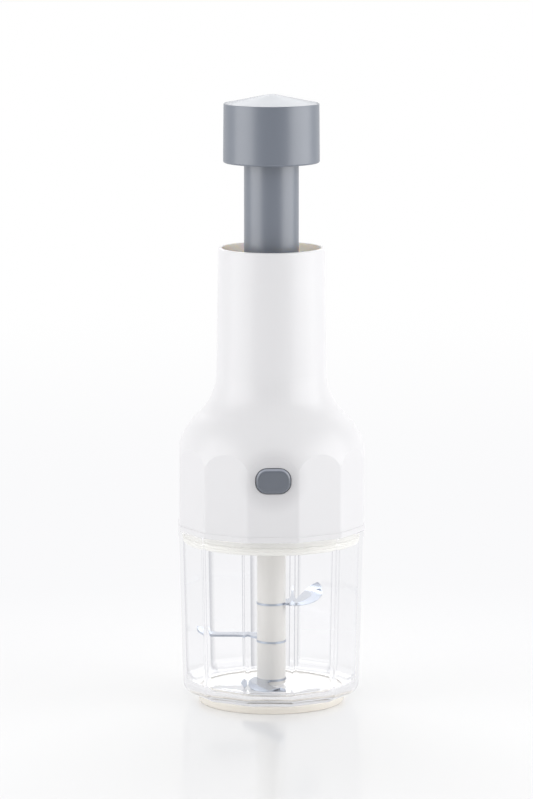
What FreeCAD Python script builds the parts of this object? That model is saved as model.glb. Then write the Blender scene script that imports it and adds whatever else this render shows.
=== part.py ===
import FreeCAD, Part
import math
import os
from FreeCAD import Vector

# Push-action food chopper. Millimetres, +Z up, origin at the centre of the foot ring's
# underside. The front, where the lock button sits, faces -Y.
#
# Driving sizes. Every size below can be changed by itself.

# Foot ring: soft ring pressed over the foot of the cup
ring_height = 3.7
ring_inset = 6.8
ring_draft = 0.5
ring_wall = 1.4
ring_lip_thick = 1.4
ring_width = 5.0
ring_edge = 0.4

# Cup: clear tumbler with flat panels
flats = 12
cup_turn = -2.1
cup_rim_z = 84.3
cup_rim_half = 43.9
cup_taper = 1.8
cup_wall = 2.0
cup_corner_r = 7.5
cup_lift = 3.8
cup_floor = 3.8
cup_edge_r = 3.0
cup_inner_edge_r = 8.0
cup_bead_height = 3.0
cup_bead_out = 0.35
foot_wall = 5.9
foot_recess = 0.5

# Pivot pin pressed into the cup floor
pin_r = 2.0
pin_length = 19.0
pin_boss_r = 4.4
pin_boss_height = 0.4
pin_seat = 2.0
pin_nose = 0.8

# Blade shaft: core with stacked sleeves that clamp the blades
shaft_r = 6.9
core_r = 3.8
core_flat = 3.1
core_length = 57.5
shaft_floor_gap = 0.6
foot_sleeve_height = 1.6
blade_pitch = 18.5
blade_thick = 1.0
head_length = 33.8
head_edge = 0.8
socket_depth = 9.5

# Blades
blade_hub_r = 7.15
blade_tip_gap = 1.7
blade_sweep = 14.8
blade_edge_thick = 0.3
blade_grind = 4.6
blade_grind_end = 1.2
blade_grind_start = 3.0
grind_steps = 8
blade_tip_length = 9.0
blade_tip_rise = 3.0
lower_azimuth = 275.0
middle_azimuth = 154.5
upper_azimuth = 53.0

# Drive hub: hexagonal dog below, crown ratchet above
dog_flats = 7.0
dog_length = 8.6
hub_r = 4.0
hub_flange_r = 8.2
hub_flange_thick = 2.1
ratchet_teeth = 8
ratchet_depth = 1.6
ratchet_inner_r = 4.7
ratchet_inset = 0.4

# Twisted spindle
spindle_lead = 36.0
bar_width = 10.0
bar_thick = 4.6
spindle_collar = 3.4
spindle_neck_r = 4.4
spindle_neck = 4.4
bar_over_nut = 4.1
spindle_tip_r = 2.2
spindle_tip = 3.0
pilot_r = 2.2
pilot_length = 5.0

# Return spring and its seat
spring_wire_r = 0.65
spring_gap = 2.0
spring_coils = 9.0
seat_out = 1.0
seat_thick = 2.0
seat_pilot = 3.2
seat_pilot_taper = 0.6

# Plunger
plunger_travel = 66.0
stem_r = 13.0
stem_wall = 1.6
stem_length = 106.2
stem_end_wall = 2.4
stem_boss_r = 4.0
stem_boss = 5.6
nut_flange_out = 1.8
nut_flange = 3.0
nut_spigot = 7.0
lug_width = 4.0
lug_out = 1.5
nut_pin_r = 1.2
nut_pin_length = 4.6

# Knob
knob_height = 28.1
knob_top_r = 22.65
knob_draft = 0.25
knob_wall = 2.0
knob_edge_r = 0.9
knob_top_edge = 0.35
knob_rim_wall = 0.9
knob_plate = 2.2
knob_rim = 1.9
knob_socket = 15.0
knob_socket_wall = 1.8
knob_ribs = 6
knob_rib = 1.6
cap_cone = 4.6
cap_wall = 1.6
cap_nose_r = 2.0
knob_screw_r = 1.5
knob_screw_head_r = 2.8
knob_screw_head = 1.5
knob_screw_length = 8.2

# Body shell
body_over = 0.1
body_wall = 2.3
body_edge_r = 4.0
body_bead_height = 2.4
body_bead_out = 0.42
shoulder_out = 1.6
shoulder_convex = 33.0
shoulder_concave = 27.5
shoulder_z = 115.2
shoulder_wall = 2.0
neck_top_z = 218.8
neck_gap = 0.85
neck_flare = 0.9
neck_lip = 1.55
rib_count = 6
rib_width = 1.8
rib_in = 2.6
rib_sink = 0.4

# Button and lock slide
button_width = 16.4
button_height = 11.9
button_corner = 5.4
button_proud = 1.6
button_depth = 8.9
button_round = 1.5
button_flange = 1.3
button_flange_thick = 1.3
button_z = 113.8
button_travel = 2.0
button_guide_depth = 5.4
button_guide_wall = 1.5
slide_thick = 2.2
slide_drop = 1.4
slide_corner = 6.0
slide_inner_corner = 3.0
slide_wall_gap = 1.0
slide_gap = 0.9
slide_arm = 3.8
slide_back = 4.4
slide_front = 4.2
tooth_width = 9.6
tooth_gap = 0.42
tooth_edge = 0.9
tongue_width = 9.0
tongue_length = 5.4
lock_spring_r = 2.4
lock_spring_wire_r = 0.3
lock_spring_coils = 5.0
lock_peg_r = 1.5
lock_peg = 3.4

# Inner lid, its seal and the bush of the drive hub
plug_depth = 6.7
plug_gap = 0.7
plug_wall = 2.2
lid_upper = 5.6
lid_web = 2.4
lid_hub_wall = 2.4
lid_edge = 0.4
seal_width = 2.4
seal_groove = 0.9
seal_out = 0.4
seal_step = 1.5
bush_wall = 2.2
bush_length = 10.0
bush_flange_out = 2.2
bush_flange = 1.0

# Mechanism frame: base plate and guide tube
frame_plate = 2.9
frame_inset = 5.2
frame_hole_gap = 0.5
tube_wall = 1.8
rail_inset = 2.0
rail_width = 2.4
rail_length = 26.0
spring_cup_r = 4.0
spring_cup = 4.2
spring_sink = 0.4

# Guide sleeve in the neck
sleeve_height = 14.2
sleeve_flange = 2.7
sleeve_wall = 2.2
sleeve_ribs = 6
sleeve_edge = 0.8
gusset_width = 1.6
gusset_rise = 5.0
gusset_reach = 4.0

# Cross recess of every screw
drive_half = 1.8
drive_width = 0.8
drive_depth = 1.0

# Housing screws
screw_inset = 10.2
screw_angle = 30.0
screw_r = 1.75
screw_head_r = 3.2
screw_head = 2.1
screw_length = 30.5
post_r = 4.4
boss_r = 4.2
boss_web = 1.8
boss_web_low = 8.0
boss_web_high = 18.0
boss_pilot = 14.0

# Clearances, and the length by which a cutting shape runs past the face it opens
slip = 0.3
running = 0.06
seat_gap = 0.2
tiny = 0.1
past = 1.0

# Tolerance within which an edge is taken to lie at a height or depth
close = 0.01

# Heights that follow from the sizes above
cup_floor_z = cup_lift + cup_floor
shaft_z = cup_floor_z + shaft_floor_gap
lower_blade_z = shaft_z + foot_sleeve_height
middle_blade_z = lower_blade_z + blade_pitch
upper_blade_z = middle_blade_z + blade_pitch
head_z = upper_blade_z + blade_thick
head_top_z = head_z + head_length
body_bottom_z = cup_rim_z + seat_gap
plug_bottom_z = body_bottom_z - plug_depth
lid_web_z = head_top_z + 2 * slip
lid_top_z = lid_web_z + lid_web
bush_top_z = lid_web_z + bush_length
hub_flange_z = bush_top_z + tiny
ratchet_z = hub_flange_z + hub_flange_thick
spindle_z = ratchet_z + ratchet_depth + slip
collar_top_z = spindle_z + spindle_collar
frame_z = collar_top_z + 2 * slip
frame_top_z = frame_z + frame_plate
bar_z = collar_top_z + spindle_neck
plate_z = button_z - slide_thick / 2 - slide_drop
nut_top_z = plate_z - slip + plunger_travel
nut_z = nut_top_z - nut_flange
bar_top_z = nut_top_z + nut_spigot + bar_over_nut
seat_z = bar_top_z + tiny
spring_z = seat_z + seat_thick
sleeve_z = nut_top_z + slip
stem_top_z = nut_top_z + stem_length
stem_roof_z = stem_top_z - stem_end_wall
knob_plate_z = stem_top_z
knob_top_z = knob_plate_z + knob_plate + knob_rim
knob_z = knob_top_z - knob_height

# Radii and distances from the axis that follow
cup_foot_half = cup_rim_half - cup_taper
blade_reach = cup_foot_half - cup_wall - blade_tip_gap
blade_bend_x = blade_reach - blade_tip_length
blade_bend_r = (blade_tip_length ** 2 + blade_tip_rise ** 2) / (2 * blade_tip_rise)
ring_top_r = cup_foot_half - ring_inset
ring_bottom_r = ring_top_r - ring_draft
foot_r = ring_bottom_r - ring_wall - seat_gap
plug_r = cup_rim_half - cup_wall - plug_gap
screw_circle = plug_r - screw_inset
bush_r = hub_r + bush_wall
bush_flange_r = bush_r + bush_flange_out
ratchet_outer_r = hub_flange_r - ratchet_inset
frame_hole_r = math.hypot(bar_width, bar_thick) / 2 + frame_hole_gap
stem_in_r = stem_r - stem_wall
spring_r = stem_in_r - spring_gap
seat_r = spring_r + seat_out
nut_flange_r = stem_r + nut_flange_out
tube_in_r = nut_flange_r + slip
tube_out_r = tube_in_r + tube_wall
slide_half = tube_out_r + slide_gap + slide_arm
cap_r = knob_top_r - knob_rim_wall - tiny
neck_top_r = knob_top_r + knob_draft + neck_gap + neck_lip
neck_flare_r = neck_top_r + neck_flare
body_half = cup_rim_half + body_over
body_in_r = body_half - body_wall
frame_plate_r = body_in_r - frame_inset
shoulder_r = body_half + shoulder_out
bore_of_sleeve = stem_r + running
sleeve_out_r = bore_of_sleeve + sleeve_wall


# ---------------------------------------------------------------- drawing helpers

def line(a, b):
    """Straight edge in the XZ plane between two (radius, height) points."""
    return Part.LineSegment(Vector(a[0], 0, a[1]), Vector(b[0], 0, b[1])).toShape()


def arc(a, middle, b):
    """Circular edge in the XZ plane through three (radius, height) points."""
    points = [Vector(p[0], 0, p[1]) for p in (a, middle, b)]
    return Part.Arc(*points).toShape()


def on_circle(centre, radius, degrees):
    """Point on a circle of the XZ plane."""
    angle = math.radians(degrees)
    return (centre[0] + radius * math.cos(angle), centre[1] + radius * math.sin(angle))


def eased(centre, radius, start, end):
    """Points along a small rounded edge, drawn with three flats."""
    return [on_circle(centre, radius, start + (end - start) * i / 3) for i in range(4)]


def turned(edges):
    """Solid of revolution about Z from the closed outline of its half section."""
    face = Part.Face(Part.Wire(edges))
    return face.revolve(Vector(0, 0, 0), Vector(0, 0, 1), 360)


def turned_outline(points):
    """Solid of revolution from a straight-sided half section."""
    closed = points + [points[0]]
    return turned([line(a, b) for a, b in zip(closed, closed[1:])])


def rod(radius, low, high, x=0, y=0):
    """Upright cylinder between two heights."""
    return Part.makeCylinder(radius, high - low, Vector(x, y, low))


def tube(outer, inner, low, high):
    """Upright tube between two heights."""
    return rod(outer, low, high).cut(rod(inner, low, high))


def block(x, y, z):
    """Box from three (low, high) pairs."""
    corner = Vector(x[0], y[0], z[0])
    return Part.makeBox(x[1] - x[0], y[1] - y[0], z[1] - z[0], corner)


def about_z(shape, degrees):
    """Copy of a shape turned about the main axis."""
    copy = shape.copy()
    copy.rotate(Vector(0, 0, 0), Vector(0, 0, 1), degrees)
    return copy


def around(shape, count, first=0.0):
    """Copies of a shape spread evenly about the main axis."""
    return [about_z(shape, first + 360.0 * i / count) for i in range(count)]


def polygon(half, sides, low, high, first=0.0):
    """Upright prism with the given distance from axis to flat; one flat faces the angle first."""
    corner = half / math.cos(math.pi / sides)
    corners = []
    for i in range(sides + 1):
        angle = math.radians(first) + math.pi / sides * (2 * i + 1)
        corners.append(Vector(corner * math.cos(angle), corner * math.sin(angle), low))
    return Part.Face(Part.makePolygon(corners)).extrude(Vector(0, 0, high - low))


def racetrack(width, height, corner, front, back, centre_z):
    """Rounded-corner bar along Y, its section centred on the button's height."""
    bar = block((-width / 2, width / 2), (front, back),
                (centre_z - height / 2, centre_z + height / 2))
    long_edges = [e for e in bar.Edges if abs(e.tangentAt(e.FirstParameter).y) > 0.9]
    return bar.makeFillet(corner, long_edges)


def panelled(edges):
    """Solid with flat panels: one side profile, drawn for +X, serves every pair of panels."""
    face = Part.Face(Part.Wire(edges))
    reach = 3 * shoulder_r
    slab = face.extrude(Vector(0, 2 * reach, 0))
    slab.translate(Vector(0, -reach, 0))
    solid = slab
    for i in range(1, flats // 2):
        solid = solid.common(about_z(slab, 360.0 / flats * i))
    return solid


def soften_corners(solid, radius, low, high):
    """Round the upright edges where two panels meet."""
    chosen = []
    for edge in solid.Edges:
        box = edge.BoundBox
        middle = edge.valueAt((edge.FirstParameter + edge.LastParameter) / 2)
        upright = abs(edge.tangentAt(edge.FirstParameter).z) > 0.2
        if upright and box.ZMin >= low - close and box.ZMax <= high + close:
            if math.hypot(middle.x, middle.y) > 1:
                chosen.append(edge)
    return solid.makeFillet(radius, chosen)


def save(name, shape):
    """Write one sub-part as its own STEP file."""
    shape = shape.removeSplitter()
    print(name, "solids", len(shape.Solids), "valid", shape.isValid(),
          "volume", round(shape.Volume, 1))
    shape.exportStep("parts/" + name + ".step")


# ---------------------------------------------------------------- cup

def cup_profile(inset, floor_z, corner_r, top_z):
    """Side profile of the cup, or of its cavity when inset by the wall."""
    draft = (cup_rim_half - cup_foot_half) / (cup_rim_z - cup_lift - cup_corner_r)
    corner_z = floor_z + corner_r
    foot = cup_foot_half - inset + draft * (corner_z - cup_lift - cup_corner_r)
    rim = cup_rim_half - inset + draft * (top_z - cup_rim_z)
    centre = (foot - corner_r, corner_z)
    start = (centre[0], floor_z)
    middle = on_circle(centre, corner_r, -45)
    end = (foot, corner_z)

    def mirror(p):
        return (-p[0], p[1])

    return [line(mirror(start), start), arc(start, middle, end), line(end, (rim, top_z)),
            line((rim, top_z), mirror((rim, top_z))), line(mirror((rim, top_z)), mirror(end)),
            arc(mirror(end), mirror(middle), mirror(start))]


def make_cup():
    outer = panelled(cup_profile(0, cup_lift, cup_corner_r, cup_rim_z))
    outer = soften_corners(outer, cup_edge_r, cup_lift, cup_rim_z)
    bead = polygon(cup_rim_half + cup_bead_out, flats, cup_rim_z - cup_bead_height, cup_rim_z)
    outer = outer.fuse(soften_corners(bead, cup_edge_r, 0, cup_rim_z))
    inner_corner = cup_corner_r - cup_wall
    cavity = panelled(cup_profile(cup_wall, cup_floor_z, inner_corner, cup_rim_z + past))
    cavity = soften_corners(cavity, cup_inner_edge_r, cup_floor_z, cup_rim_z + past)
    foot = tube(foot_r, foot_r - foot_wall, ring_lip_thick, cup_lift)
    recess = rod(foot_r - foot_wall, 0, cup_lift + foot_recess)
    boss = rod(pin_boss_r, cup_floor_z - past, cup_floor_z + pin_boss_height)
    hole = rod(pin_r, cup_floor_z - pin_seat, cup_floor_z + pin_boss_height + past)
    cup = outer.fuse(foot).cut(cavity).fuse(boss).cut(recess).cut(hole)
    return about_z(cup, cup_turn)


def make_base_ring():
    collar_r = foot_r + seat_gap / 2
    inner_r = ring_bottom_r - ring_width
    return turned_outline([(inner_r, 0), (ring_bottom_r - ring_edge, 0),
                           (ring_bottom_r, ring_edge),
                           (ring_top_r, ring_height - ring_edge),
                           (ring_top_r - ring_edge, ring_height),
                           (collar_r, ring_height), (collar_r, ring_lip_thick),
                           (inner_r, ring_lip_thick)])


def make_pivot_pin():
    base = cup_floor_z - pin_seat
    top = base + pin_length
    return turned_outline([(0, base), (pin_r, base), (pin_r, top - pin_nose),
                           (pin_r - pin_nose, top), (0, top)])


# ---------------------------------------------------------------- blade shaft

def double_d(radius, flat, low, high):
    """Rod with two flats, for parts that must turn together."""
    return rod(radius, low, high).common(block((-radius, radius), (-flat, flat), (low, high)))


def make_shaft_core():
    core = double_d(core_r, core_flat, shaft_z, shaft_z + core_length)
    bore_top = cup_floor_z - pin_seat + pin_length + 2 * slip
    return core.cut(rod(pin_r + running, shaft_z, bore_top))


def make_sleeve(low, high):
    """One of the sleeves that are stacked on the core."""
    return rod(shaft_r, low, high).cut(double_d(core_r, core_flat, low, high))


def make_shaft_head():
    head = turned_outline([(0, head_z), (shaft_r, head_z), (shaft_r, head_top_z - head_edge),
                           (shaft_r - head_edge, head_top_z), (0, head_top_z)])
    head = head.cut(double_d(core_r, core_flat, head_z, shaft_z + core_length))
    socket = polygon(dog_flats / 2 + slip, 6, head_top_z - socket_depth, head_top_z + past)
    return head.cut(socket)


def blade_edge(points):
    """Smooth edge of a blade through points of its plan."""
    curve = Part.BSplineCurve()
    curve.interpolate([Vector(x, y, 0) for x, y in points])
    return curve


def blade_face(x, level):
    """Height of a blade's underside, at level 0, or of its top: the end is bent up in an arc."""
    beyond = max(0.0, x - blade_bend_x)
    radius = blade_bend_r - level
    return blade_bend_r - math.sqrt(radius ** 2 - beyond ** 2)


def blade_sheet():
    """Steel sheet, level at the shaft and bent up at its end, before it is stamped."""
    centre = (blade_bend_x, blade_bend_r)
    turn = 1.2 * math.degrees(math.asin(blade_tip_length / blade_bend_r))
    under = [on_circle(centre, blade_bend_r, turn * i / 2 - 90) for i in range(3)]
    over = [on_circle(centre, blade_bend_r - blade_thick, turn * i / 2 - 90) for i in range(3)]
    side = Part.Wire([
        line((0, 0), under[0]), arc(under[0], under[1], under[2]), line(under[2], over[2]),
        arc(over[2], over[1], over[0]), line(over[0], (0, blade_thick)),
        line((0, blade_thick), (0, 0))])
    sheet = Part.Face(side).extrude(Vector(0, 4 * blade_sweep, 0))
    sheet.translate(Vector(0, -2 * blade_sweep, 0))
    return sheet


def grinding_cut(edge):
    """Wedge that is ground off the top along the leading edge, narrow at both ends."""
    run = edge.length() - blade_grind_start
    sections = []
    for i in range(grind_steps + 1):
        share = i / grind_steps
        fullness = math.sin(math.pi * share) ** 0.6
        width = blade_grind_end + (blade_grind - blade_grind_end) * fullness
        along = edge.parameterAtDistance(blade_grind_start + run * share)
        rim = edge.value(along)
        way = edge.tangent(along)[0]
        outwards = Vector(way.y, -way.x, 0)
        slope = (blade_thick - blade_edge_thick) / width
        outer = rim + outwards * past
        inner = rim - outwards * width
        outer.z = blade_face(rim.x, 0) + blade_edge_thick - slope * past
        inner.z = blade_face(inner.x, blade_thick)
        above = Vector(outer.x, outer.y, inner.z + past)
        sections.append(Part.makePolygon([outer, inner, above, outer]))
    return Part.makeLoft(sections, True, False)


def make_blade(z, azimuth):
    """Swept-back blade: round hub, curved ground edge that leads, straighter back."""
    tip = (blade_reach, 0)
    root_out = (0.3, -0.8 * blade_hub_r)
    root_in = (0.72 * blade_hub_r, 0.6)
    leading = blade_edge([root_out, (0.08 * blade_reach, -0.92 * blade_sweep),
                          (0.30 * blade_reach, -1.02 * blade_sweep),
                          (0.71 * blade_reach, -0.64 * blade_sweep),
                          (0.92 * blade_reach, -0.30 * blade_sweep), tip])
    trailing = blade_edge([tip, (0.93 * blade_reach, 0.2 * blade_sweep),
                           (0.77 * blade_reach, 0.14 * blade_sweep),
                           (0.43 * blade_reach, -0.2 * blade_sweep), root_in])
    closing = Part.LineSegment(Vector(root_in[0], root_in[1], 0),
                               Vector(root_out[0], root_out[1], 0))
    outline = Part.Wire([leading.toShape(), trailing.toShape(), closing.toShape()])
    plate = Part.Face(outline).extrude(Vector(0, 0, 2 * blade_tip_rise)).common(blade_sheet())
    plate = plate.cut(grinding_cut(leading))
    bore = about_z(double_d(core_r, core_flat, -past, blade_thick + past), -azimuth)
    blade = about_z(plate.fuse(rod(blade_hub_r, 0, blade_thick)).cut(bore), azimuth)
    blade.translate(Vector(0, 0, z))
    return blade


# ---------------------------------------------------------------- drive

def crown(low, high):
    """Ring of ratchet teeth that slope up from one height to the other and drop at once."""
    ring = tube(ratchet_outer_r, ratchet_inner_r, low, high)
    pitch = 360.0 / ratchet_teeth
    reach = ratchet_outer_r + past
    axis_low = Vector(0, 0, low)
    axis_high = Vector(0, 0, high)
    steep_low = Vector(reach, 0, low)
    steep_high = Vector(reach, 0, high)
    far_x, far_y = on_circle((0, 0), reach, pitch)
    far_high = Vector(far_x, far_y, high)
    outlines = [[steep_low, steep_high, far_high], [axis_low, steep_low, steep_high, axis_high],
                [axis_high, steep_high, far_high], [axis_low, steep_low, far_high],
                [axis_low, far_high, axis_high]]
    sides = [Part.Face(Part.makePolygon(corners + [corners[0]])) for corners in outlines]
    for notch in around(Part.Solid(Part.Shell(sides)), ratchet_teeth):
        ring = ring.cut(notch)
    return ring


def make_drive_hub():
    dog_z = lid_web_z + slip - dog_length
    hub = polygon(dog_flats / 2, 6, dog_z, lid_web_z + slip)
    hub = hub.fuse(rod(hub_r, lid_web_z + slip, hub_flange_z))
    hub = hub.fuse(rod(hub_flange_r, hub_flange_z, ratchet_z))
    hub = hub.fuse(crown(ratchet_z, ratchet_z + ratchet_depth))
    return hub.cut(rod(pilot_r + running, spindle_z - pilot_length - slip, spindle_z))


def bar_section(grow, z):
    """Flat-bar section of the spindle, larger all round by grow."""
    half_w = bar_width / 2 + grow
    half_t = bar_thick / 2 + grow
    corners = [(-half_w, -half_t), (half_w, -half_t), (half_w, half_t), (-half_w, half_t),
               (-half_w, -half_t)]
    return Part.makePolygon([Vector(x, y, z) for x, y in corners])


def twisted_bar(low, high, grow):
    """Left-hand twisted bar; the twist at a height is the same whatever length is made."""
    spine = Part.Wire([Part.LineSegment(Vector(0, 0, low), Vector(0, 0, high)).toShape()])
    helix = Part.makeHelix(spindle_lead, high - low, bar_width, 0, True)
    helix.translate(Vector(0, 0, low))
    sweep = Part.BRepOffsetAPI.MakePipeShell(spine)
    sweep.setAuxiliarySpine(Part.Wire(helix.Edges), True, 0)
    sweep.add(bar_section(grow, low))
    sweep.build()
    sweep.makeSolid()
    bar = sweep.shape()
    return about_z(bar, -360.0 * (low - bar_z) / spindle_lead)


def make_spindle():
    low = spindle_z - ratchet_depth
    teeth = tube(ratchet_outer_r, ratchet_inner_r, low, spindle_z).cut(crown(low, spindle_z))
    collar = rod(ratchet_outer_r, spindle_z, collar_top_z)
    pilot = rod(pilot_r, spindle_z - pilot_length, spindle_z)
    neck = rod(spindle_neck_r, collar_top_z, bar_z + past)
    tip = rod(spindle_tip_r, bar_top_z, bar_top_z + spindle_tip)
    bar = twisted_bar(bar_z, bar_top_z, 0)
    return collar.fuse(teeth).fuse(pilot).fuse(neck).fuse(bar).fuse(tip)


def make_spring_seat():
    top = spring_z + seat_pilot
    pilot_r_out = spring_r - spring_wire_r - slip
    seat = turned_outline([(spindle_tip_r + tiny, seat_z), (seat_r, seat_z), (seat_r, spring_z),
                           (pilot_r_out, spring_z), (pilot_r_out - seat_pilot_taper, top),
                           (spindle_tip_r + tiny, top)])
    return seat


def coil_spring(length, radius, wire_r, coils):
    """Compression spring along Z from height 0; its wire has six flats to keep it light."""
    helix = Part.makeHelix((length - 2 * wire_r) / coils, length - 2 * wire_r, radius)
    helix.translate(Vector(0, 0, wire_r))
    corners = []
    for i in range(7):
        angle = math.pi / 3 * (i + 0.5)
        corners.append(Vector(radius + wire_r * math.cos(angle), 0,
                              wire_r + wire_r * math.sin(angle)))
    sweep = Part.BRepOffsetAPI.MakePipeShell(Part.Wire(helix.Edges))
    sweep.setFrenetMode(True)
    sweep.add(Part.makePolygon(corners))
    sweep.build()
    sweep.makeSolid()
    return sweep.shape()


def make_return_spring():
    spring = coil_spring(stem_roof_z - spring_z, spring_r, spring_wire_r, spring_coils)
    spring.translate(Vector(0, 0, spring_z))
    return spring


# ---------------------------------------------------------------- plunger

def make_stem():
    stem = rod(stem_r, nut_top_z, stem_top_z).cut(rod(stem_in_r, nut_top_z, stem_roof_z))
    stem = stem.fuse(rod(stem_boss_r, stem_roof_z - stem_boss, stem_roof_z))
    stem = stem.cut(rod(knob_screw_r, stem_roof_z - stem_boss, stem_top_z))
    for pin in nut_pin_solids():
        stem = stem.cut(pin)
    return stem


def nut_pin_solids():
    """Two dowels that hold the nut in the stem."""
    height = nut_top_z + nut_spigot / 2
    start = stem_r - tiny - nut_pin_length
    pin = Part.makeCylinder(nut_pin_r, nut_pin_length, Vector(start, 0, height), Vector(1, 0, 0))
    return around(pin, 2)


def make_drive_nut():
    nut = rod(nut_flange_r, nut_z, nut_top_z)
    lug = block((0, nut_flange_r + lug_out), (-lug_width / 2, lug_width / 2), (nut_z, nut_top_z))
    for copy in around(lug, 2):
        nut = nut.fuse(copy)
    nut = nut.fuse(rod(stem_in_r - tiny, nut_top_z, nut_top_z + nut_spigot))
    nut = nut.cut(twisted_bar(nut_z - past, nut_top_z + nut_spigot + past, slip))
    for pin in nut_pin_solids():
        nut = nut.cut(pin)
    return nut


def make_knob():
    top = knob_top_z
    bottom_r = knob_top_r + knob_draft
    inner_r = bottom_r - knob_wall
    rim_r = cap_r + tiny
    plate_top = knob_plate_z + knob_plate
    low_edge = eased((bottom_r - knob_edge_r, knob_z + knob_edge_r), knob_edge_r, -90, 0)
    top_edge = eased((knob_top_r - knob_top_edge, top - knob_top_edge), knob_top_edge, 0, 90)
    skin = turned_outline([(inner_r, knob_z)] + low_edge + top_edge
                          + [(rim_r, top), (rim_r, plate_top), (0, plate_top),
                             (0, knob_plate_z), (inner_r, knob_plate_z)])
    socket_in = stem_r + tiny
    socket_out = socket_in + knob_socket_wall
    socket = tube(socket_out, socket_in, knob_plate_z - knob_socket, knob_plate_z)
    knob = skin.fuse(socket)
    rib = block((socket_out - past, inner_r + past), (-knob_rib / 2, knob_rib / 2),
                (knob_plate_z - knob_socket, knob_plate_z))
    for copy in around(rib, knob_ribs):
        knob = knob.fuse(copy)
    return knob.cut(rod(knob_screw_r + tiny, knob_plate_z - past, plate_top + past))


def make_knob_cap():
    base = knob_plate_z + knob_plate
    rim = knob_top_z
    apex = rim + cap_cone
    slope = cap_cone / cap_r
    nose_z = apex - slope * cap_nose_r
    inner_r = cap_r - cap_wall
    return turned_outline([(inner_r, base), (cap_r, base), (cap_r, rim), (cap_nose_r, nose_z),
                           (cap_nose_r / 2, apex - slope * cap_nose_r / 1.6), (0, apex - slope),
                           (0, apex - 2 * cap_wall), (inner_r, rim - cap_wall)])


def make_knob_screw():
    base = knob_plate_z + knob_plate
    head = rod(knob_screw_head_r, base, base + knob_screw_head)
    shank = rod(knob_screw_r, base - knob_screw_length, base)
    cross = block((-drive_half, drive_half), (-drive_width / 2, drive_width / 2),
                  (base + knob_screw_head - drive_depth, base + knob_screw_head))
    screw = head.fuse(shank).cut(cross)
    return screw.cut(about_z(cross, 90))


# ---------------------------------------------------------------- housing

def shoulder_joint():
    """Centres of the two shoulder arcs and the direction in which they meet."""
    convex = (shoulder_r - shoulder_convex, shoulder_z)
    across = neck_flare_r + shoulder_concave - convex[0]
    reach = shoulder_convex + shoulder_concave
    concave = (convex[0] + across, convex[1] + math.sqrt(reach ** 2 - across ** 2))
    return convex, concave, math.degrees(math.acos(across / reach))


def shoulder_edges(inset):
    """Convex and concave shoulder arcs, moved inwards by a wall."""
    convex, concave, meet = shoulder_joint()
    low_r = shoulder_convex - inset
    high_r = shoulder_concave + inset
    joint = on_circle(convex, low_r, meet)
    flare = (concave[0] - high_r, concave[1])
    middle_high = on_circle(concave, high_r, 180 + meet / 2)
    return convex, low_r, meet, joint, middle_high, flare


def body_outer():
    convex, low_r, meet, joint, middle_high, flare = shoulder_edges(0)
    lip_r = neck_lip / 2
    lip = eased((neck_top_r - lip_r, neck_top_z - lip_r), lip_r, 0, 90)
    widest = (shoulder_r, shoulder_z)
    return turned([
        line((0, body_bottom_z), (shoulder_r, body_bottom_z)),
        line((shoulder_r, body_bottom_z), widest),
        arc(widest, on_circle(convex, low_r, meet / 2), joint),
        arc(joint, middle_high, flare),
        line(flare, lip[0]), line(lip[0], lip[1]), line(lip[1], lip[2]), line(lip[2], lip[3]),
        line(lip[3], (0, neck_top_z)),
        line((0, neck_top_z), (0, body_bottom_z))])


def body_inner():
    convex, low_r, meet, joint, middle_high, flare = shoulder_edges(shoulder_wall)
    start_angle = math.degrees(math.acos((body_in_r - convex[0]) / low_r))
    low_arc = eased(convex, low_r, start_angle, meet)
    high_arc = eased(shoulder_joint()[1], shoulder_concave + shoulder_wall, 180 + meet, 180)
    base = body_bottom_z - past
    top = neck_top_z + past
    mouth_r = neck_top_r - neck_lip
    return turned_outline([(0, base), (body_in_r, base)] + low_arc + high_arc[1:]
                          + [(mouth_r, neck_top_z - neck_lip),
                             (mouth_r, top), (0, top)])


def screw_places():
    """Angles of the four housing screws."""
    return [screw_angle, 180 - screw_angle, 180 + screw_angle, 360 - screw_angle]


def make_body_shell():
    prism = polygon(body_half, flats, body_bottom_z, neck_top_z)
    prism = soften_corners(prism, body_edge_r, 0, neck_top_z)
    solid = body_outer().common(prism)
    bead_top = body_bottom_z + body_bead_height
    bead = polygon(body_half + body_bead_out, flats, body_bottom_z, bead_top)
    solid = solid.fuse(soften_corners(bead, body_edge_r, 0, bead_top))
    shell = solid.cut(body_inner())

    boss = rod(boss_r, frame_top_z, shoulder_z + shoulder_convex, screw_circle)
    web = block((screw_circle, shoulder_r), (-boss_web / 2, boss_web / 2),
                (frame_top_z + boss_web_low, shoulder_z + boss_web_high))
    pilot = rod(screw_r - seat_gap, frame_top_z - past, frame_top_z + boss_pilot, screw_circle)
    for angle in screw_places():
        shell = shell.fuse(about_z(boss.fuse(web), angle).common(solid))
    for angle in screw_places():
        shell = shell.cut(about_z(pilot, angle))

    flange_top = sleeve_z + sleeve_flange + tiny
    knob_low = knob_z - plunger_travel
    mouth_r = neck_top_r - neck_lip
    hold = block((mouth_r - rib_in, mouth_r + rib_sink), (-rib_width / 2, rib_width / 2),
                 (flange_top, knob_low - 4 * slip))
    for copy in around(hold, rib_count, 180.0 / rib_count):
        shell = shell.fuse(copy)

    grow = 2 * slip
    wall = 2 * button_guide_wall
    front = -body_half
    guide = racetrack(button_width + grow + wall, button_height + grow + wall,
                      button_corner + slip + button_guide_wall,
                      front + body_wall / 2, front + button_guide_depth, button_z)
    opening = racetrack(button_width + grow, button_height + grow, button_corner + slip,
                        front - body_wall, front + button_guide_depth + past, button_z)
    return shell.fuse(guide).cut(opening)


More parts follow.
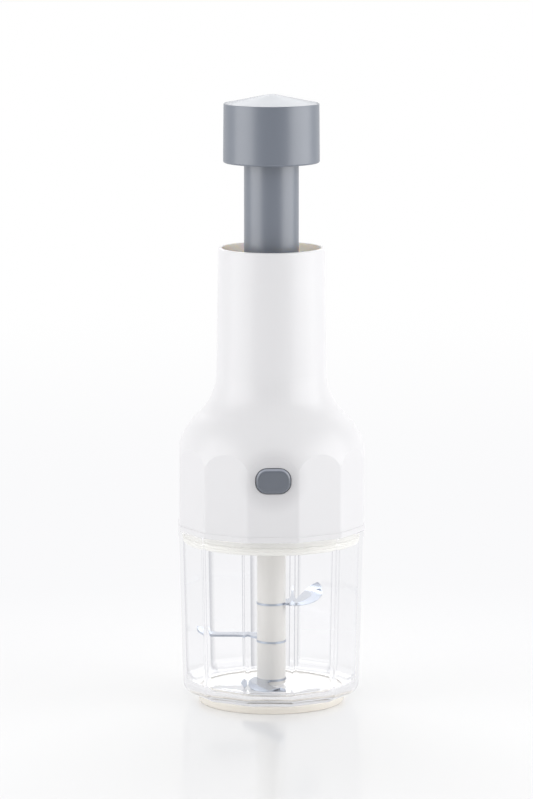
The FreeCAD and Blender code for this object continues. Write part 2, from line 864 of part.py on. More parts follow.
def make_inner_lid():
    upper_r = body_in_r - slip
    seal_z = plug_bottom_z + seal_step
    groove_r = plug_r - seal_groove
    lid = turned_outline([
        (plug_r - plug_wall, plug_bottom_z), (plug_r - lid_edge, plug_bottom_z),
        (plug_r, plug_bottom_z + lid_edge), (plug_r, seal_z), (groove_r, seal_z),
        (groove_r, seal_z + seal_width), (plug_r, seal_z + seal_width),
        (plug_r, body_bottom_z), (upper_r, body_bottom_z), (upper_r, body_bottom_z + lid_upper),
        (plug_r - plug_wall, body_bottom_z + lid_upper), (plug_r - plug_wall, lid_top_z),
        (0, lid_top_z), (0, lid_web_z), (plug_r - plug_wall, lid_web_z)])
    hub = rod(bush_r + lid_hub_wall, lid_web_z, bush_top_z - bush_flange)
    skirt = tube(bush_r + lid_hub_wall, shaft_r + slip, plug_bottom_z, lid_web_z)
    post = rod(post_r, lid_web_z, frame_z, screw_circle)
    hole = rod(screw_r + tiny, lid_web_z - past, frame_z + past, screw_circle)
    sink = rod(screw_head_r + slip, lid_web_z - past, lid_web_z + screw_head + tiny, screw_circle)
    lid = lid.fuse(hub).fuse(skirt)
    for angle in screw_places():
        lid = lid.fuse(about_z(post, angle))
    for angle in screw_places():
        lid = lid.cut(about_z(hole, angle)).cut(about_z(sink, angle))
    return lid.cut(rod(bush_r, lid_web_z - past, bush_top_z))


def make_lid_seal():
    low = plug_bottom_z + seal_step
    high = low + seal_width
    inner = plug_r - seal_groove
    lip = plug_r + seal_out
    middle = (low + high) / 2
    return turned_outline([(inner, low), (plug_r, low), (lip, low + seal_out),
                           (plug_r + tiny, middle), (lip, high - seal_out), (plug_r, high),
                           (inner, high)])


def make_hub_bush():
    bush = rod(bush_r, lid_web_z, bush_top_z - bush_flange)
    bush = bush.fuse(rod(bush_flange_r, bush_top_z - bush_flange, bush_top_z))
    return bush.cut(rod(hub_r + running, lid_web_z, bush_top_z))


def make_guide_frame():
    top = sleeve_z
    frame = rod(frame_plate_r, frame_z, frame_top_z).fuse(rod(tube_out_r, frame_top_z, top))
    frame = frame.cut(rod(tube_in_r, frame_top_z, top)).cut(
        rod(frame_hole_r, frame_z, frame_top_z))
    slot_half = lug_width / 2 + slip
    slot = block((tube_in_r - past, tube_out_r + past), (-slot_half, slot_half),
                 (nut_z - plunger_travel - past, top))
    for copy in around(slot, 2):
        frame = frame.cut(copy)
    tooth_half = tooth_width / 2 + slip
    window = block((-tooth_half, tooth_half), (0, tube_out_r + past),
                   (plate_z - slip, plate_z + slide_thick + slip))
    frame = frame.cut(window)
    rail_x = slide_half - rail_inset
    rail = block((rail_x - rail_width, rail_x), (-rail_length / 2, rail_length / 2),
                 (frame_top_z, plate_z - slip))
    for copy in around(rail, 2):
        frame = frame.fuse(copy)
    height = plate_z + slide_thick / 2
    cup = Part.makeCylinder(spring_cup_r, spring_cup + tube_wall,
                            Vector(0, -tube_in_r - tiny, height), Vector(0, -1, 0))
    pocket = Part.makeCylinder(lock_spring_r + lock_spring_wire_r + slip, spring_cup + past,
                               Vector(0, -tube_out_r + spring_sink, height), Vector(0, -1, 0))
    frame = frame.fuse(cup).cut(pocket).cut(rod(tube_in_r, frame_top_z, top))
    hole = rod(screw_r + tiny, frame_z, frame_top_z, screw_circle)
    for angle in screw_places():
        frame = frame.cut(about_z(hole, angle))
    return frame


def make_guide_sleeve():
    flange_r = neck_top_r - neck_lip - seat_gap
    flange_top = sleeve_z + sleeve_flange
    top = sleeve_z + sleeve_height
    sleeve = turned_outline([(bore_of_sleeve, sleeve_z), (flange_r, sleeve_z),
                             (flange_r, flange_top), (sleeve_out_r, flange_top),
                             (sleeve_out_r, top - sleeve_edge), (sleeve_out_r - sleeve_edge, top),
                             (bore_of_sleeve, top)])
    gusset = block((sleeve_out_r - past, sleeve_out_r + gusset_reach),
                   (-gusset_width / 2, gusset_width / 2),
                   (flange_top - past, flange_top + gusset_rise))
    for copy in around(gusset, sleeve_ribs):
        sleeve = sleeve.fuse(copy)
    return sleeve


def make_housing_screws():
    base = lid_web_z + tiny
    head = rod(screw_head_r, base, base + screw_head, screw_circle)
    shank = rod(screw_r - seat_gap, base + screw_head, base + screw_length, screw_circle)
    along = block((screw_circle - drive_half, screw_circle + drive_half),
                  (-drive_width / 2, drive_width / 2), (base, base + drive_depth))
    across = block((screw_circle - drive_width / 2, screw_circle + drive_width / 2),
                   (-drive_half, drive_half), (base, base + drive_depth))
    screw = head.fuse(shank).cut(along).cut(across)
    return Part.makeCompound([about_z(screw, angle) for angle in screw_places()])


# ---------------------------------------------------------------- lock

def lock_levels():
    """Depths of the lock parts along Y, from the button's face inwards."""
    face = -body_half - button_proud
    back = face + button_depth
    window_front = back + slide_front
    window_back = tube_out_r + button_travel + 2 * slip
    return face, back, window_front, window_back


def make_lock_button():
    face, back, window_front, window_back = lock_levels()
    button = racetrack(button_width, button_height, button_corner, face, back, button_z)
    front = [e for e in button.Edges if e.BoundBox.YMax < face + close]
    button = button.makeFillet(button_round, front)
    flange = racetrack(button_width + 2 * button_flange, button_height + 2 * button_flange,
                       button_corner + button_flange, back - button_flange_thick, back, button_z)
    tongue = block((-tongue_width / 2, tongue_width / 2), (back - tongue_length, back),
                   (plate_z, plate_z + slide_thick))
    return button.fuse(flange).cut(tongue)


def make_lock_slide():
    face, back, window_front, window_back = lock_levels()
    top = plate_z + slide_thick
    plate = block((-slide_half, slide_half), (back, window_back + slide_back), (plate_z, top))
    corners = [e for e in plate.Edges if abs(e.tangentAt(e.FirstParameter).z) > 0.9]
    plate = plate.makeFillet(slide_corner, corners)
    plate = plate.common(rod(body_in_r - slide_wall_gap, plate_z, top))
    inner = slide_half - slide_arm
    window = block((-inner, inner), (window_front, window_back), (plate_z, top))
    corners = [e for e in window.Edges if abs(e.tangentAt(e.FirstParameter).z) > 0.9]
    plate = plate.cut(window.makeFillet(slide_inner_corner, corners))
    reach_y = stem_r + tooth_gap
    tooth = block((-tooth_width / 2, tooth_width / 2), (reach_y, window_back + past), (plate_z, top))
    tip = [e for e in tooth.Edges
           if e.BoundBox.YMax < reach_y + close and e.BoundBox.ZMin > top - close]
    tooth = tooth.makeChamfer(tooth_edge, tip)
    tongue = block((-tongue_width / 2, tongue_width / 2), (back - tongue_length, back + past),
                   (plate_z, top))
    height = plate_z + slide_thick / 2
    peg = Part.makeCylinder(lock_peg_r, lock_peg + past, Vector(0, window_front - past, height),
                            Vector(0, 1, 0))
    peg = peg.common(block((-lock_peg_r, lock_peg_r), (window_front - past, 0), (plate_z, top)))
    return plate.fuse(tooth).fuse(tongue).fuse(peg)


def make_lock_spring():
    face, back, window_front, window_back = lock_levels()
    end = -tube_out_r + spring_sink - button_travel - seat_gap
    spring = coil_spring(end - window_front, lock_spring_r, lock_spring_wire_r,
                         lock_spring_coils)
    spring.rotate(Vector(0, 0, 0), Vector(1, 0, 0), -90)
    spring.translate(Vector(0, window_front, plate_z + slide_thick / 2))
    return spring


# ---------------------------------------------------------------- build

save("cup", make_cup())
save("base_ring", make_base_ring())
save("pivot_pin", make_pivot_pin())

save("shaft_core", make_shaft_core())
save("shaft_foot", make_sleeve(shaft_z, lower_blade_z))
save("spacer_lower", make_sleeve(lower_blade_z + blade_thick, middle_blade_z))
save("spacer_upper", make_sleeve(middle_blade_z + blade_thick, upper_blade_z))
save("shaft_head", make_shaft_head())
save("blade_lower", make_blade(lower_blade_z, lower_azimuth))
save("blade_middle", make_blade(middle_blade_z, middle_azimuth))
save("blade_upper", make_blade(upper_blade_z, upper_azimuth))

save("drive_hub", make_drive_hub())
save("spindle", make_spindle())
save("spring_seat", make_spring_seat())
save("return_spring", make_return_spring())

save("plunger_stem", make_stem())
save("drive_nut", make_drive_nut())
save("nut_pins", Part.makeCompound(nut_pin_solids()))
save("knob", make_knob())
save("knob_cap", make_knob_cap())
save("knob_screw", make_knob_screw())

save("body_shell", make_body_shell())
save("inner_lid", make_inner_lid())
save("lid_seal", make_lid_seal())
save("hub_bush", make_hub_bush())
save("guide_frame", make_guide_frame())
save("guide_sleeve", make_guide_sleeve())
save("housing_screws", make_housing_screws())

save("lock_button", make_lock_button())
save("lock_slide", make_lock_slide())
save("lock_spring", make_lock_spring())
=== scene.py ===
import bpy
import math
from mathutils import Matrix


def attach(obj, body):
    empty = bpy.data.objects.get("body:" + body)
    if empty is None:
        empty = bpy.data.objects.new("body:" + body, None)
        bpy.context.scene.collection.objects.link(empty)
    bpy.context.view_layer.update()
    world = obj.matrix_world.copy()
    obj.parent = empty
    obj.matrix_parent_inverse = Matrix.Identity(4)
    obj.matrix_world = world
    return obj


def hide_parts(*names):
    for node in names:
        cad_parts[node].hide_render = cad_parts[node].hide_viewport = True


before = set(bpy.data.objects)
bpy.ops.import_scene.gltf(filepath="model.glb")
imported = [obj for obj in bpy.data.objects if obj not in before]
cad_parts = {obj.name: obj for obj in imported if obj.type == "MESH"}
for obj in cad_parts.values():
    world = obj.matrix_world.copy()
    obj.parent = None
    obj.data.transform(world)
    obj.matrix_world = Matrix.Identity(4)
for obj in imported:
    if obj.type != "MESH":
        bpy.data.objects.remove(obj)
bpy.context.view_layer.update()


# ---------------------------------------------------------------- foot ring
# The soft ring that the chopper stands on. It is moulded in cream rubber and pushed over the
# round foot of the cup, so that the cup doesn't slip while the knob is struck.

mm = 0.001


def active(piece):
    """Makes a piece the only one that is selected."""
    bpy.ops.object.select_all(action="DESELECT")
    piece.select_set(True)
    bpy.context.view_layer.objects.active = piece


def bend(centre, radius, start, end, steps=6):
    """Points of an arc in a half section, in millimetres: distance from the axis and height."""
    points = []
    for step in range(steps + 1):
        angle = math.radians(start + (end - start) * step / steps)
        points.append((centre[0] + radius * math.cos(angle), centre[1] + radius * math.sin(angle)))
    return points


def draw_up(name, outline, sides=160, hollow=False, turn=0.0, corner=0.0):
    """Round piece: a circle is extruded and scaled from point to point of its half section.

    A solid piece starts and ends in a disc. A hollow one ends where it started. With few
    sides it is a prism, and corner is the radius of its upright edges.
    """
    bpy.ops.object.select_all(action="DESELECT")
    radius, height = outline[0]
    bpy.ops.mesh.primitive_circle_add(vertices=sides, radius=radius * mm,
                                      fill_type="NOTHING" if hollow else "NGON",
                                      location=(0, 0, height * mm),
                                      rotation=(0, 0, math.radians(turn)))
    piece = bpy.context.active_object
    piece.name = name
    bpy.ops.object.transform_apply(location=True, rotation=True, scale=True)
    bpy.ops.object.mode_set(mode="EDIT")
    bpy.ops.mesh.select_all(action="SELECT")
    if corner:
        widest = max(point[0] for point in outline)
        cut = corner * mm * math.tan(math.pi / sides) * radius / widest
        bpy.ops.mesh.bevel(offset=cut, segments=8, affect="VERTICES")
    path = outline[1:] + outline[:1] if hollow else outline[1:]
    for next_radius, next_height in path:
        bpy.ops.mesh.extrude_region_move()
        wider = next_radius / radius
        bpy.ops.transform.resize(value=(wider, wider, 1), center_override=(0, 0, 0))
        bpy.ops.transform.translate(value=(0, 0, (next_height - height) * mm))
        radius, height = next_radius, next_height
    bpy.ops.mesh.select_all(action="SELECT")
    bpy.ops.mesh.remove_doubles(threshold=0.000001)
    bpy.ops.mesh.normals_make_consistent(inside=False)
    bpy.ops.object.mode_set(mode="OBJECT")
    return piece


def smooth(piece, degrees=25):
    """Smooth shading, with the flat faces kept flat beside the rounded edges."""
    active(piece)
    bpy.ops.object.shade_smooth_by_angle(angle=math.radians(degrees))
    bpy.ops.object.modifier_add(type="WEIGHTED_NORMAL")
    piece.modifiers[-1].keep_sharp = True
    bpy.ops.object.modifier_apply(modifier=piece.modifiers[-1].name)


class Value:
    """What a node gives: a number, a colour, a vector or a shader. Sums add Math nodes."""

    def __init__(self, finish, socket):
        self.finish = finish
        self.socket = socket

    def __add__(self, other):
        return self.finish.maths("ADD", self, other)

    def __sub__(self, other):
        return self.finish.maths("SUBTRACT", self, other)

    def __rsub__(self, other):
        return self.finish.maths("SUBTRACT", other, self)

    def __mul__(self, other):
        return self.finish.maths("MULTIPLY", self, other)

    def __gt__(self, other):
        return self.finish.maths("GREATER_THAN", self, other)

    __radd__ = __add__
    __rmul__ = __mul__


class Finish:
    """A material of the chopper, built from nodes."""

    def __init__(self, name):
        self.material = bpy.data.materials.new(name)
        self.material.use_nodes = True
        self.tree = self.material.node_tree
        self.tree.nodes.clear()
        self.output = self.tree.nodes.new("ShaderNodeOutputMaterial")
        self.place = self.add("ShaderNodeTexCoord", result="Object")

    def add(self, kind, settings=None, sockets=None, result=0):
        """One node. Its settings come first, then the values or links of its sockets."""
        node = self.tree.nodes.new(kind)
        for key, value in (settings or {}).items():
            setattr(node, key, value)
        for key, value in (sockets or {}).items():
            if isinstance(value, Value):
                self.tree.links.new(value.socket, node.inputs[key])
            else:
                node.inputs[key].default_value = value
        return Value(self, node.outputs[result])

    def maths(self, operation, left, right):
        """A sum, or another operation, on two values."""
        return self.add("ShaderNodeMath", {"operation": operation}, {0: left, 1: right})

    def vectors(self, operation, left, right):
        """A number from two vectors, such as a distance."""
        return self.add("ShaderNodeVectorMath", {"operation": operation}, {0: left, 1: right},
                        result="Value")

    def along(self, axis, vector):
        """A vector's share along the X, Y or Z axis."""
        return self.add("ShaderNodeSeparateXYZ", sockets={0: vector}, result=axis)

    def ray(self, kind):
        """What the Light Path node says of the ray that meets the surface."""
        return self.add("ShaderNodeLightPath", result=kind)

    def facing(self):
        """The way in which the surface faces."""
        return self.add("ShaderNodeTexCoord", result="Normal")

    def cloud(self, scale, detail=2.0, stretch=(1, 1, 1)):
        """Soft noise between 0 and 1, with the given number of patches to the metre."""
        place = self.add("ShaderNodeMapping", sockets={"Vector": self.place, "Scale": stretch})
        return self.add("ShaderNodeTexNoise", sockets={"Vector": place, "Scale": scale,
                                                       "Detail": detail})

    def fade(self, value, low, high):
        """A value between two limits, as a soft step from 0 to 1."""
        return self.add("ShaderNodeMapRange", {"interpolation_type": "SMOOTHSTEP"},
                        {"Value": value, "From Min": low, "From Max": high})

    def blend(self, amount, first, second):
        """Colour between two colours."""
        first = first if isinstance(first, Value) else first + (1,)
        second = second if isinstance(second, Value) else second + (1,)
        return self.add("ShaderNodeMix", {"data_type": "RGBA"},
                        {"Factor": amount, 6: first, 7: second}, result=2)

    def relief(self, height, strength, depth):
        """Fine bumps, for the Normal socket of a shader."""
        return self.add("ShaderNodeBump", sockets={"Height": height, "Strength": strength,
                                                   "Distance": depth})

    def cover(self, shader, part="Surface"):
        """Joins a shader to the output."""
        self.tree.links.new(shader.socket, self.output.inputs[part])

    def surface(self, sockets):
        """One shader for the whole piece."""
        self.cover(self.add("ShaderNodeBsdfPrincipled", sockets=sockets))

    def mixed(self, amount, first, second):
        """Two shaders, one over the other."""
        self.cover(self.add("ShaderNodeMixShader", sockets={0: amount, 1: first, 2: second}))


def plastic(finish, colour, roughness, grain, index, flow, milky=0.0, other=None, share=0.0):
    """Shader of a moulding: faint flow marks in the colour, a fine skin, uneven gloss.

    Milky is how much of the light comes through the wall from behind. The other colour shows
    in its share of the skin. It is painted light: painted shade round the housing's button and a
    painted highlight on the lock button.
    """
    marks = finish.cloud(28, 4, (1, 1, 0.45))
    darker = tuple(channel * (1 - flow) for channel in colour)
    base = finish.blend(marks, darker, colour)
    if other:
        base = finish.blend(share, base, other)
    skin = finish.cloud(2400, 2) + finish.cloud(420, 1) * 0.6
    return finish.add("ShaderNodeBsdfPrincipled", sockets={
        "Base Color": base,
        "Roughness": roughness - 0.025 + finish.cloud(140, 3) * 0.05, "IOR": index,
        "Normal": finish.relief(skin, grain, 0.05 * mm), "Subsurface Weight": milky,
        "Subsurface Scale": 0.005, "Subsurface Radius": (1.0, 0.8, 0.55)})


def moulded(name, colour, roughness, grain, index=1.5, flow=0.03):
    """Finish of a piece in moulded plastic or rubber."""
    finish = Finish(name)
    finish.cover(plastic(finish, colour, roughness, grain, index, flow))
    return finish


def fit(piece, finish, body, slot, *nodes):
    """Gives a new piece its finish and its body, and hides the CAD nodes that it stands for."""
    piece.data.materials.append(finish.material)
    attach(piece, body)
    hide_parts(*nodes)


ring_low, ring_wide, ring_height = 34.8, 35.3, 3.7
ring_draft = -8
ring_edge, ring_inner_edge = 0.6, 0.25
ring_seat, ring_hole, ring_lip = 33.3, 29.8, 1.4
foot_ring = draw_up("foot_ring", (
    bend((ring_low - ring_edge, ring_edge), ring_edge, -90, ring_draft)
    + bend((ring_wide - ring_edge, ring_height - ring_edge), ring_edge, ring_draft, 90)
    + bend((ring_seat + ring_inner_edge, ring_height - ring_inner_edge), ring_inner_edge,
           90, 180, 3)
    + [(ring_seat, ring_lip), (ring_hole, ring_lip)]
    + bend((ring_hole + ring_inner_edge, ring_inner_edge), ring_inner_edge, 180, 270, 3)),
    hollow=True)
smooth(foot_ring)
rubber = moulded("foot rubber", (0.89, 0.845, 0.77), 0.42, 0.5)
fit(foot_ring, rubber, "cup", "foot_rubber", "base_ring")


# ---------------------------------------------------------------- cup
# Tumbler in clear plastic with twelve flats, a rim bead and a hollow round foot. It is
# moulded in one shot, with a boss in its floor for the pin that the blades turn on. Its
# flats sit a little turned back from those of the housing.

flats = 12
half_flat = math.pi / flats
turned_back = 2.1
cup_turn = math.degrees(half_flat) - turned_back


def combine(piece, tool, how):
    """Adds a second body to a piece, or cuts it out, and removes the second body."""
    active(piece)
    bpy.ops.object.modifier_add(type="BOOLEAN")
    change = piece.modifiers[-1]
    change.operation = how
    change.solver = "EXACT"
    change.object = tool
    bpy.ops.object.modifier_apply(modifier=change.name)
    bpy.data.objects.remove(tool)


def panelled(name, outline, corner):
    """Prism of twelve flats, with its half section given from the axis to a flat."""
    to_corner = [(half / math.cos(half_flat), height) for half, height in outline]
    return draw_up(name, to_corner, sides=flats, turn=cup_turn, corner=corner)


cup_half, cup_bottom, cup_floor = 42.1, 3.8, 7.6
cup_wall, cup_round, cup_taper = 2.0, 7.5, -1.4
outer_corner, inner_corner = 3.0, 8.0
rim_bead = [(43.83, 81.3), (44.1, 81.45), (44.2, 81.8), (44.25, 83.9), (44.1, 84.3)]
rim_mouth = [(41.9, 84.0), (42.2, 85.3)]
round_from_axis = cup_half - cup_round
inner_round = cup_round - cup_wall
cup = panelled("clear_cup", (
    [(round_from_axis, cup_bottom)]
    + bend((round_from_axis, cup_bottom + cup_round), cup_round, -80, cup_taper, 8)
    + rim_bead), outer_corner)
cavity = panelled("cup_cavity", (
    [(round_from_axis, cup_floor)]
    + bend((round_from_axis, cup_floor + inner_round), inner_round, -80, cup_taper, 8)
    + rim_mouth), inner_corner)
combine(cup, cavity, "DIFFERENCE")

foot_out, foot_in, foot_bottom = 33.2, 27.3, 1.4
foot_top, recess_top = cup_bottom + 0.6, cup_bottom + 0.5
foot = draw_up("cup_foot", [(foot_out, foot_top), (foot_out, foot_bottom),
                            (foot_in, foot_bottom), (foot_in, foot_top)], hollow=True)
combine(cup, foot, "UNION")
recess = draw_up("foot_recess", [(foot_in, foot_bottom - 0.4), (foot_in, recess_top)])
combine(cup, recess, "DIFFERENCE")

boss_radius, boss_top, boss_edge = 4.4, cup_floor + 0.4, 0.2
boss = draw_up("pin_boss", [(boss_radius, cup_floor - 0.6)] + bend(
    (boss_radius - boss_edge, boss_top - boss_edge), boss_edge, 0, 90, 3))
combine(cup, boss, "UNION")
pin_radius, pin_seat = 2.0, cup_floor - 2.0
pin_hole = draw_up("pin_hole", [(pin_radius, pin_seat), (pin_radius, boss_top + 1.0)])
combine(cup, pin_hole, "DIFFERENCE")
smooth(cup, 20)

# The corners are thicker than the flats, and the inside of a corner is painted greyer. This is
# painted shade that stands in for the grey lines of light bent in the thick corners.
# Its width is an angle, and it is worked out from the way round the axis.
clear = Finish("clear plastic")
way_round = clear.maths("ARCTAN2", clear.along("Y", clear.place), clear.along("X", clear.place))
from_corner = clear.maths("PINGPONG", way_round - math.radians(cup_turn), half_flat)
outwards = clear.vectors("DOT_PRODUCT", clear.place, clear.facing())
inner = 0 - outwards > 0
# Painted shade: a greyer colour on the inner faces close to each corner.
painted_corner_shade = clear.fade(from_corner, 0.07, 0.0) * inner
clear_shader = clear.add("ShaderNodeBsdfPrincipled", sockets={
    "Base Color": clear.blend(painted_corner_shade, (0.99, 0.99, 0.993), (0.63, 0.635, 0.665)),
    "Roughness": clear.cloud(60) * 0.015, "Transmission Weight": 1.0, "IOR": 1.46,
    "Normal": clear.relief(clear.cloud(26, 2), 0.1, 0.2 * mm)})

# Shadows, soft light and mirror images pass straight through. So does light that has been
# thrown to and fro inside the wall for long, which would otherwise end in black specks.
bounce_limit = 4.5
caught = clear.ray("Ray Depth") > bounce_limit
reflected = clear.ray("Is Glossy Ray") - clear.ray("Is Transmission Ray") > 0.5
straight = clear.ray("Is Shadow Ray") + clear.ray("Is Diffuse Ray") + caught + reflected
through = clear.add("ShaderNodeBsdfTransparent", sockets={"Color": (0.988, 0.988, 0.99, 1)})
clear.mixed(straight, clear_shader, through)
clear.cover(clear.add("ShaderNodeVolumeAbsorption", sockets={
    "Color": (0.69, 0.695, 0.73, 1), "Density": 24.0}), "Volume")
fit(cup, clear, "cup", "clear_cup", "cup")


# ---------------------------------------------------------------- blade shaft
# Off-white sleeves, moulded and slid on a core with two flats. They clamp the blades between
# them, and the core turns on the pin in the floor of the cup.

def dress(finish, *names):
    """Gives CAD nodes their finish."""
    for name in names:
        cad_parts[name].data.materials[0] = finish.material


shaft_plastic = moulded("shaft plastic", (0.81, 0.795, 0.765), 0.34, 0.4)
dress(shaft_plastic, "shaft_foot", "spacer_lower", "spacer_upper", "shaft_head", "shaft_core")


# ---------------------------------------------------------------- blades
# Stainless steel, stamped to one outline and bent up at the tip, each with its hole turned to
# its own place on the core. The flats are polished and the leading edge is ground, which leaves
# short lines across it.

blade_steel = Finish("blade steel")
ground = 1 - blade_steel.fade(blade_steel.along("Z", blade_steel.facing()), 0.985, 0.998)
polish = blade_steel.cloud(300, 3)
scratches = blade_steel.cloud(2600, 2, (1, 1, 0.1))
blade_steel.surface({
    "Base Color": blade_steel.blend(ground, (0.55, 0.58, 0.645), (0.46, 0.50, 0.575)),
    "Metallic": 1.0,
    "Roughness": 0.19 + polish * 0.05 + ground * (0.08 + scratches * 0.1),
    "Normal": blade_steel.relief(scratches * ground + polish * 0.2, 0.2, 0.03 * mm)})
dress(blade_steel, "blade_lower", "blade_middle", "blade_upper")


# ---------------------------------------------------------------- pins, screws and springs
# Plated steel, drawn to size, with faint lines along it. The pin is pressed into the cup, the
# dowels go through stem and nut, and the springs are held between their seats.

plated = Finish("plated steel")
drawn = plated.cloud(700, 3, (1, 1, 0.06))
plated.surface({
    "Base Color": plated.blend(drawn, (0.58, 0.585, 0.59), (0.68, 0.68, 0.675)),
    "Metallic": 1.0, "Roughness": 0.22 + drawn * 0.12,
    "Normal": plated.relief(drawn, 0.2, 0.02 * mm)})
dress(plated, "pivot_pin", "nut_pins", "knob_screw", "housing_screws", "return_spring",
      "lock_spring")


# ---------------------------------------------------------------- drive
# Waxy white acetal, moulded: the hub with its ratchet, the twisted spindle and the spring
# seat on its tip, the nut that is pinned in the stem, and the bush pressed in the inner lid.

acetal = moulded("acetal", (0.80, 0.80, 0.77), 0.35, 0.3)
dress(acetal, "drive_hub", "spindle", "spring_seat", "drive_nut", "hub_bush")


# ---------------------------------------------------------------- mechanism frame
# Beige mouldings inside the housing: the plate with the guide tube, held by the screws of the
# housing, the lock slide that rides on it, and the sleeve that guides the stem and shows in
# the mouth of the neck.

beige = moulded("beige plastic", (0.74, 0.67, 0.53), 0.45, 0.5)
dress(beige, "guide_frame", "guide_sleeve", "lock_slide")


# ---------------------------------------------------------------- housing
# White moulding with a glossy skin, screwed to the inner lid from below. Close round the button
# the panel has painted shade.
# Inside the neck the light comes through the wall, and the inner wall there is also painted
# lighter and warmer.

white = Finish("white plastic")
button_centre = (0, -0.044, 0.1138)
from_button = white.vectors("DISTANCE", white.place, button_centre)
# Painted shade: close round the button the skin turns to a darker grey.
skin_with_painted_shade = plastic(white, (0.795, 0.791, 0.806), 0.305, 0.25, 1.5, 0.015,
                     other=(0.68, 0.675, 0.69), share=white.fade(from_button, 0.0175, 0.0085))
# Painted light: inside the neck the wall gets a lighter, warmer colour, on top of the light that
# really comes through it.
neck_lit_through_painted_warmer = plastic(white, (0.86, 0.84, 0.832), 0.4, 0.25, 1.5, 0.015, milky=0.9)
away = white.vectors("DOT_PRODUCT", white.place, white.facing())
in_neck = white.fade(white.along("Z", white.place), 0.15, 0.19) * (0 - away > 0)
white.mixed(in_neck, skin_with_painted_shade, neck_lit_through_painted_warmer)
dress(white, "body_shell")


# ---------------------------------------------------------------- inner lid and seal
# The cream moulding that closes the housing from below and plugs into the cup, and the soft
# ring in its groove, which holds the cup by friction.

cream = moulded("cream plastic", (0.96, 0.95, 0.905), 0.4, 0.4)
dress(cream, "inner_lid")
seal_rubber = moulded("seal rubber", (0.95, 0.94, 0.89), 0.45, 0.5)
dress(seal_rubber, "lid_seal")


# ---------------------------------------------------------------- knob
# Skirted palm knob in grey plastic. Its shallow cone is a cap of its own, pushed into the rim
# over the screw that holds the knob on the stem.

grey = moulded("grey plastic", (0.147, 0.169, 0.212), 0.34, 0.45, index=1.9, flow=0.04)

knob_bottom, knob_top = 259.2, 287.3
knob_low, knob_high, skirt_in = 22.9, 22.65, 20.9
skirt_edge, lip_edge = 0.9, 0.2
top_edge, rim_edge = 0.35, 0.15
roof_under, rim_floor, rim_in = 283.2, 285.4, 21.75
knob = draw_up("palm_knob", (
    [(skirt_in, roof_under), (skirt_in, knob_bottom + 0.3)]
    + bend((skirt_in + lip_edge, knob_bottom + lip_edge), lip_edge, 180, 270, 3)
    + bend((knob_low - skirt_edge, knob_bottom + skirt_edge), skirt_edge, -90, 0, 8)
    + bend((knob_high - top_edge, knob_top - top_edge), top_edge, 0, 90, 5)
    + bend((rim_in + rim_edge, knob_top - rim_edge), rim_edge, 90, 180, 3)
    + [(rim_in, rim_floor)]), sides=192)

# The socket for the stem hangs from the roof, with six ribs between it and the skirt.
socket_in, socket_out, socket_bottom = 13.1, 14.9, 268.2
socket_top = roof_under + 0.4
socket = draw_up("knob_socket", [(socket_in, socket_bottom), (socket_out, socket_bottom),
                                 (socket_out, socket_top), (socket_in, socket_top)],
                 hollow=True)
combine(knob, socket, "UNION")

ribs = 6
rib_width = 1.6
rib_start, rib_end = socket_out - 0.4, skirt_in + 0.5
bpy.ops.object.select_all(action="DESELECT")
bpy.ops.mesh.primitive_cube_add(
    size=1, location=((rib_start + rib_end) / 2 * mm, 0, (socket_bottom + socket_top) / 2 * mm),
    scale=((rib_end - rib_start) * mm, rib_width * mm, (socket_top - socket_bottom) * mm))
rib = bpy.context.active_object
bpy.ops.object.transform_apply(location=True, rotation=True, scale=True)
bpy.ops.object.mode_set(mode="EDIT")
bpy.ops.mesh.select_all(action="SELECT")
bpy.ops.mesh.bevel(offset=0.3 * mm, segments=3, affect="EDGES")
bpy.ops.object.mode_set(mode="OBJECT")
for turn in range(ribs):
    active(rib)
    bpy.ops.object.duplicate(linked=False)
    copied_rib = bpy.context.active_object
    copied_rib.rotation_euler.z = math.radians(turn * 360 / ribs)
    bpy.ops.object.transform_apply(location=False, rotation=True, scale=False)
    combine(knob, copied_rib, "UNION")
bpy.data.objects.remove(rib)
smooth(knob)
fit(knob, grey, "plunger", "knob_grey", "knob")

cap_radius, cap_in, cap_edge, cap_side = 21.65, 20.05, 0.2, 287.1
cone_rise, nose_radius, nose_centre = 4.6, 15.6, 275.9
under_nose = (0.4, 288.5)
slope = math.degrees(math.atan2(cone_rise, cap_radius))
cap = draw_up("knob_cone", (
    [under_nose, (cap_in, rim_floor + 0.3), (cap_in, rim_floor), (cap_radius, rim_floor),
     (cap_radius, cap_side)]
    + bend((cap_radius - cap_edge, cap_side), cap_edge, 0, 90 - slope, 3)
    + bend((0, nose_centre), nose_radius, 90 - slope, 89, 6)), sides=192)
smooth(cap)
fit(cap, grey, "plunger", "knob_grey", "knob_cap")


# ---------------------------------------------------------------- stem and lock button
# Both are moulded in grey. The stem runs down into the neck, and the button slides in a
# short guide in the front panel. Its rounded upper edge has a painted highlight: where it faces up
# it is painted a lighter grey.

dress(grey, "plunger_stem")
button_grey = Finish("button plastic")
up_for_painted_highlight = button_grey.along("Z", button_grey.facing())
# Painted highlight: the faces of the button that turn up get a lighter grey.
button_grey.cover(plastic(button_grey, (0.1, 0.116, 0.148), 0.32, 0.45, 1.9, 0.03,
                          other=(0.3, 0.325, 0.39),
                          share=button_grey.fade(up_for_painted_highlight, 0.1, 0.75)))
dress(button_grey, "lock_button")


# ---------------------------------------------------------------- studio
# A white table and backdrop, two broad soft lamps at the sides and one above and behind.
# The lamps show in the object's gloss, but not to the camera and not through the clear cup.

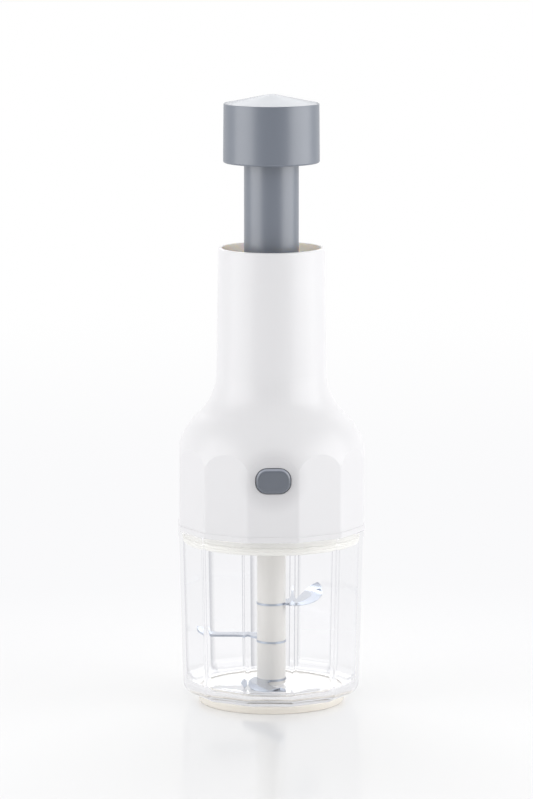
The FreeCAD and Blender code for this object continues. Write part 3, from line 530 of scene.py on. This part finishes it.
def lamp(name, place, aim, width, height, power):
    """Rectangular soft lamp that shines at a point and isn't seen itself."""
    bpy.ops.object.light_add(type="AREA", location=place)
    light = bpy.context.active_object
    light.name = name
    light.data.shape = "RECTANGLE"
    light.data.size = width
    light.data.size_y = height
    light.data.energy = power
    light.visible_camera = False
    light.visible_transmission = False
    way = (aim[0] - place[0], aim[1] - place[1], aim[2] - place[2])
    flat = math.hypot(way[0], way[1])
    light.rotation_euler = (math.atan2(flat, -way[2]), 0, math.atan2(-way[0], way[1]))


lamp("left wall", (-0.895, -0.325, 0.35), (0, 0, 0.18), 1.0, 0.9, 5.3)
lamp("right wall", (0.915, -0.262, 0.35), (0, 0, 0.18), 1.15, 0.9, 6.5)
lamp("back top", (0, 1.0, 0.85), (0, 0, 0.2), 1.4, 0.6, 6.2)

bpy.ops.object.select_all(action="DESELECT")
bpy.ops.mesh.primitive_plane_add(size=12, location=(0, 0, 0))
table = bpy.context.active_object
table.name = "table"

# The lit table is seen round the foot. Further out it is plain white like the backdrop, and in
# anything clear or shiny it is so in part.
white_table = Finish("white table")
table_shader = white_table.add("ShaderNodeBsdfPrincipled", sockets={
    "Base Color": (0.87, 0.87, 0.875, 1), "Roughness": 0.13 + white_table.cloud(8) * 0.03,
    "IOR": 1.45})
table_through = white_table.ray("Is Transmission Ray")
out_from_foot = white_table.vectors("DISTANCE", white_table.place, (0, -0.1, 0))
far = white_table.fade(out_from_foot, 0.14, 0.42)
in_gloss_or_clear = white_table.ray("Is Glossy Ray") + table_through > 0.5
near_through = in_gloss_or_clear * (0.5 + far * 0.5) + table_through * 0.3
white_glow = white_table.add("ShaderNodeEmission", sockets={
    "Color": white_table.blend(white_table.fade(out_from_foot, 0.6, 1.6), (0.955, 0.955, 0.966),
                               (1, 1, 1)),
    "Strength": 1.0})
white_table.mixed(white_table.ray("Is Camera Ray") * far + near_through, table_shader,
                  white_glow)
table.data.materials.append(white_table.material)

# The room is white where the camera looks. In gloss and through glass it is dimmer on the
# side of the camera, and through glass also at the sides. Its soft light is stronger above.
world = bpy.data.worlds.new("studio")
world.use_nodes = True
bpy.context.scene.world = world


class Room(Finish):
    """The world's own nodes, worked with in the same way as a finish."""

    def __init__(self, owner):
        self.tree = owner.node_tree
        self.tree.nodes.clear()
        self.output = self.tree.nodes.new("ShaderNodeOutputWorld")


room = Room(world)
direction = room.add("ShaderNodeTexCoord", result="Generated")
seen = room.ray("Is Camera Ray")
refracted = room.ray("Is Transmission Ray")
sharp = room.ray("Is Glossy Ray") + refracted > 0.5
backwards = 0 - room.along("Y", direction)
mirror_dim = 1 - (0.78 - refracted * 0.43) * room.fade(backwards, 0.35, 0.98)
sideways = room.maths("ABSOLUTE", room.along("X", direction), 0)
side_dim = 1 - 0.8 * refracted * room.fade(sideways, 0.25, 0.8)
soft = 0.44 + 0.3 * room.fade(room.along("Z", direction), 0.1, 0.9)
level = sharp * mirror_dim * side_dim + (1 - sharp) * soft
shown = level + seen * (1 - level)
room.cover(room.add("ShaderNodeBackground", sockets={
    "Color": room.blend(shown, (0, 0, 0), (1, 1, 1)), "Strength": 1.0}))

# The camera stands two metres off with a long lens, a little above the knob.
side = math.radians(-1.2)
distance = 1.990
camera_height = 0.4517
tilt_down, pan = 8.74, 0.0672
bpy.ops.object.camera_add(
    location=(distance * math.sin(side), -distance * math.cos(side), camera_height),
    rotation=(math.radians(90 - tilt_down), 0, side + math.radians(pan)))
camera = bpy.context.active_object
camera.data.lens = 190.2
camera.data.clip_end = 30
bpy.context.scene.camera = camera
bpy.context.scene.view_settings.view_transform = "Standard"
